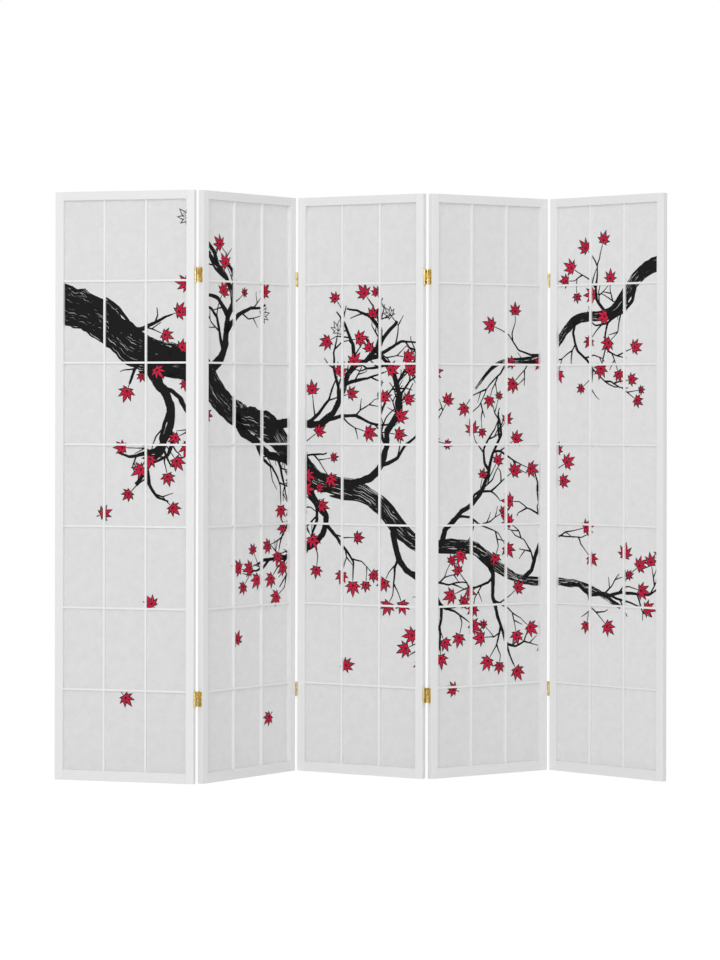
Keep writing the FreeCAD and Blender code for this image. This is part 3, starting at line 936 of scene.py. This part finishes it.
def screw_slots():
    """Cutters for the slots across the screws' heads."""
    bm = bmesh.new()
    for z in SCREW_HEIGHTS:
        bar(bm, (LEAF_FACE - SLOT_DEPTH, -HALF_GAP, z - SLOT_WIDTH / 2),
            (LEAF_FACE + SLOT_DEPTH, HALF_GAP, z + SLOT_WIDTH / 2), 0)
    return bm


def settled(bm):
    """The same faces, in a fixed order and each from a fixed corner, so that no run differs."""
    bm.verts.index_update()
    rings = []
    for face in bm.faces:
        ring = list(face.verts)
        numbers = [corner.index for corner in ring]
        first = numbers.index(min(numbers))
        rings.append((numbers[first:] + numbers[:first], ring[first:] + ring[:first]))
    bmesh.ops.delete(bm, geom=bm.faces[:], context="FACES_ONLY")
    for _, ring in sorted(rings, key=lambda pair: pair[0]):
        bm.faces.new(ring)
    bm.normal_update()
    return bm


def at_both_hinges(bm):
    """The same hardware at the lower and the upper hinge."""
    first = bm.verts[:]
    copy = bmesh.ops.duplicate(bm, geom=bm.verts[:] + bm.edges[:] + bm.faces[:])["geom"]
    doubled = [part for part in copy if isinstance(part, bmesh.types.BMVert)]
    bmesh.ops.translate(bm, vec=(0, 0, lower_hinge), verts=first)
    bmesh.ops.translate(bm, vec=(0, 0, PANEL_HEIGHT - lower_hinge), verts=doubled)
    return settled(bm)


def hinge_place(joint, turn, depth):
    """The middle of a hinge as one leaf carries it: a pin stands at a depth from it."""
    pin = Vector(joints[joint]["pos_m"])
    pin.z = 0
    turned = Matrix.Rotation(turn, 4, "Z")
    return Matrix.Translation(pin - turned @ Vector((0, depth, 0))) @ turned


def screwed_leaf(pin_depth):
    """The left leaf: a plate on the panel's edge, with its upper knuckle round the front pin."""
    bm = bmesh.new()
    reach = pin_depth - KNUCKLE_RADIUS - KNUCKLE_GAP
    leaf_plate(bm, -HALF_GAP, LEAF_FACE, reach)
    bar(bm, (-HALF_GAP + LEAF_EASE, -pin_depth, KNUCKLE_END_GAP / 2),
        (LEAF_FACE - LEAF_EASE, -reach + LEAF_CORNER, HALF_HINGE), LEAF_EASE)
    rod(bm, KNUCKLE_RADIUS, KNUCKLE_END_GAP / 2, HALF_HINGE, -pin_depth)
    return bm


def middle_leaf(pin_depth):
    """The loose leaf, with the lower knuckle of each pin."""
    bm = bmesh.new()
    half = LEAF_THICKNESS / 2
    leaf_plate(bm, -half, half, pin_depth - KNUCKLE_RADIUS - KNUCKLE_GAP)
    bar(bm, (-half + LEAF_EASE, -pin_depth, -HALF_HINGE),
        (half - LEAF_EASE, pin_depth, -KNUCKLE_END_GAP / 2), LEAF_EASE)
    for y in (-pin_depth, pin_depth):
        rod(bm, KNUCKLE_RADIUS, -HALF_HINGE, -KNUCKLE_END_GAP / 2, y)
    return bm


def pins(pin_depth):
    """Both pins, with peened ends that stand a hair proud of the knuckles."""
    bm = bmesh.new()
    for y in (-pin_depth, pin_depth):
        rod(bm, PIN_RADIUS, -HALF_HINGE - KNUCKLE_EASE, HALF_HINGE + KNUCKLE_EASE, y)
    return bm


hinge_brass = brass_material()
about = Matrix.Rotation(math.pi, 4, "Z")
for fold in FOLDS:
    front, back = f"fold_{fold}_front_pin", f"fold_{fold}_back_pin"
    between = Vector(joints[back]["pos_m"]) - Vector(joints[front]["pos_m"])
    pin_depth = between.length / 2
    left = hinge_place(front, PANEL_TURNS[fold], -pin_depth)
    right = hinge_place(back, PANEL_TURNS[fold + 1], pin_depth) @ about
    centre = hinge_place(front, math.atan2(-between.x, between.y), -pin_depth)
    this, after, middle = f"panel_{fold}", f"panel_{fold + 1}", f"fold_{fold}_centre"
    for name, bm, waste, place, body in (
            ("left_leaves", screwed_leaf(pin_depth), countersinks(), left, this),
            ("right_leaves", screwed_leaf(pin_depth), countersinks(), right, after),
            ("centre_leaves", middle_leaf(pin_depth), access_holes(), centre, middle),
            ("hinge_pins", pins(pin_depth), None, centre, middle),
            ("left_screws", screws(), screw_slots(), left, this),
            ("right_screws", screws(), screw_slots(), right, after)):
        made = piece(f"fold_{fold}_brass_{name}", at_both_hinges(bm), place, body, hinge_brass)
        if waste:
            cut_out(made, at_both_hinges(waste), place, body)
        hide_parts(f"{body}_hinge_screws" if "screws" in name else f"fold_{fold}_{name}")

# Floor, light and camera. A wide white floor and a white surround, a large soft lamp above the
# camera and a little to its left, and the camera level at the photograph's height.
WHITE = (1, 1, 1, 1)
FLOOR_SIZE = 600.0
FLOOR_ROUGHNESS = 0.9
FLOOR_WHITE = (0.95, 0.95, 0.95, 1)
FLOOR_GLOW = 0.94
FLOOR_SHADOW = (0.10, 0.10, 0.10, 1)
SURROUND_LIGHT = 0.56
LAMP_PLACE = (-0.9, -8.2, 4.0)
LAMP_SIZE = 4.6
LAMP_POWER = 280
CAMERA_PLACE = (-0.0023, -9.506, 1.1257)
CAMERA_ROLL = -0.0018
CAMERA_FAR = 200
PHOTO_HEIGHT = 960
FOCAL_PIXELS = 3100.6
HORIZON_ROW = 409.45
SENSOR = 36.0


def seen_rays(tree):
    """Whether a ray comes from the camera, a reflection or a clear body."""
    rays = add(tree, "ShaderNodeLightPath").outputs
    first = maths(tree, "MAXIMUM", rays["Is Camera Ray"], rays["Is Glossy Ray"])
    return maths(tree, "MAXIMUM", first, rays["Is Transmission Ray"])


floor_mesh = bmesh.new()
bmesh.ops.create_grid(floor_mesh, x_segments=1, y_segments=1, size=FLOOR_SIZE / 2)
floor_data = bpy.data.meshes.new("floor")
floor_mesh.to_mesh(floor_data)
floor_mesh.free()
floor = bpy.data.objects.new("floor", floor_data)
bpy.context.scene.collection.objects.link(floor)
floor_paint, tree, shader = new_material("floor_white", FLOOR_WHITE, FLOOR_ROUGHNESS)
glow = add(tree, "ShaderNodeEmission", inputs={"Color": WHITE, "Strength": FLOOR_GLOW})
shadow = add(tree, "ShaderNodeBsdfDiffuse", inputs={"Color": FLOOR_SHADOW})
seen = add(tree, "ShaderNodeAddShader", inputs={
    0: glow.outputs["Emission"], 1: shadow.outputs["BSDF"]})
mix = add(tree, "ShaderNodeMixShader", inputs={
    "Fac": seen_rays(tree), 1: shader.outputs["BSDF"], 2: seen.outputs["Shader"]})
tree.links.new(mix.outputs["Shader"], tree.nodes["Material Output"].inputs["Surface"])
floor_data.materials.append(floor_paint)

world = bpy.data.worlds.new("studio")
bpy.context.scene.world = world
world.use_nodes = True
tree = world.node_tree
tree.nodes.clear()
light = add(tree, "ShaderNodeBackground", inputs={"Color": WHITE, "Strength": SURROUND_LIGHT})
white = add(tree, "ShaderNodeBackground", inputs={"Color": WHITE, "Strength": 1.0})
mix = add(tree, "ShaderNodeMixShader", inputs={
    "Fac": seen_rays(tree), 1: light.outputs["Background"], 2: white.outputs["Background"]})
add(tree, "ShaderNodeOutputWorld", inputs={"Surface": mix.outputs["Shader"]})

lamp_data = bpy.data.lights.new("soft_lamp", "AREA")
lamp_data.shape = "SQUARE"
lamp_data.size = LAMP_SIZE
lamp_data.energy = LAMP_POWER
lamp = bpy.data.objects.new("soft_lamp", lamp_data)
bpy.context.scene.collection.objects.link(lamp)
lamp.location = LAMP_PLACE
aim = Vector((0, 0, PANEL_HEIGHT / 2)) - Vector(LAMP_PLACE)
lamp.rotation_euler = aim.to_track_quat("-Z", "Y").to_euler()

camera_data = bpy.data.cameras.new("camera")
camera_data.sensor_width = SENSOR
camera_data.lens = FOCAL_PIXELS / PHOTO_HEIGHT * SENSOR
camera_data.shift_y = (HORIZON_ROW - PHOTO_HEIGHT / 2) / PHOTO_HEIGHT
camera_data.clip_end = CAMERA_FAR
camera = bpy.data.objects.new("camera", camera_data)
bpy.context.scene.collection.objects.link(camera)
camera.location = CAMERA_PLACE
camera.rotation_euler = (math.pi / 2, CAMERA_ROLL, 0)
bpy.context.scene.camera = camera
bpy.context.scene.view_settings.view_transform = "Standard"
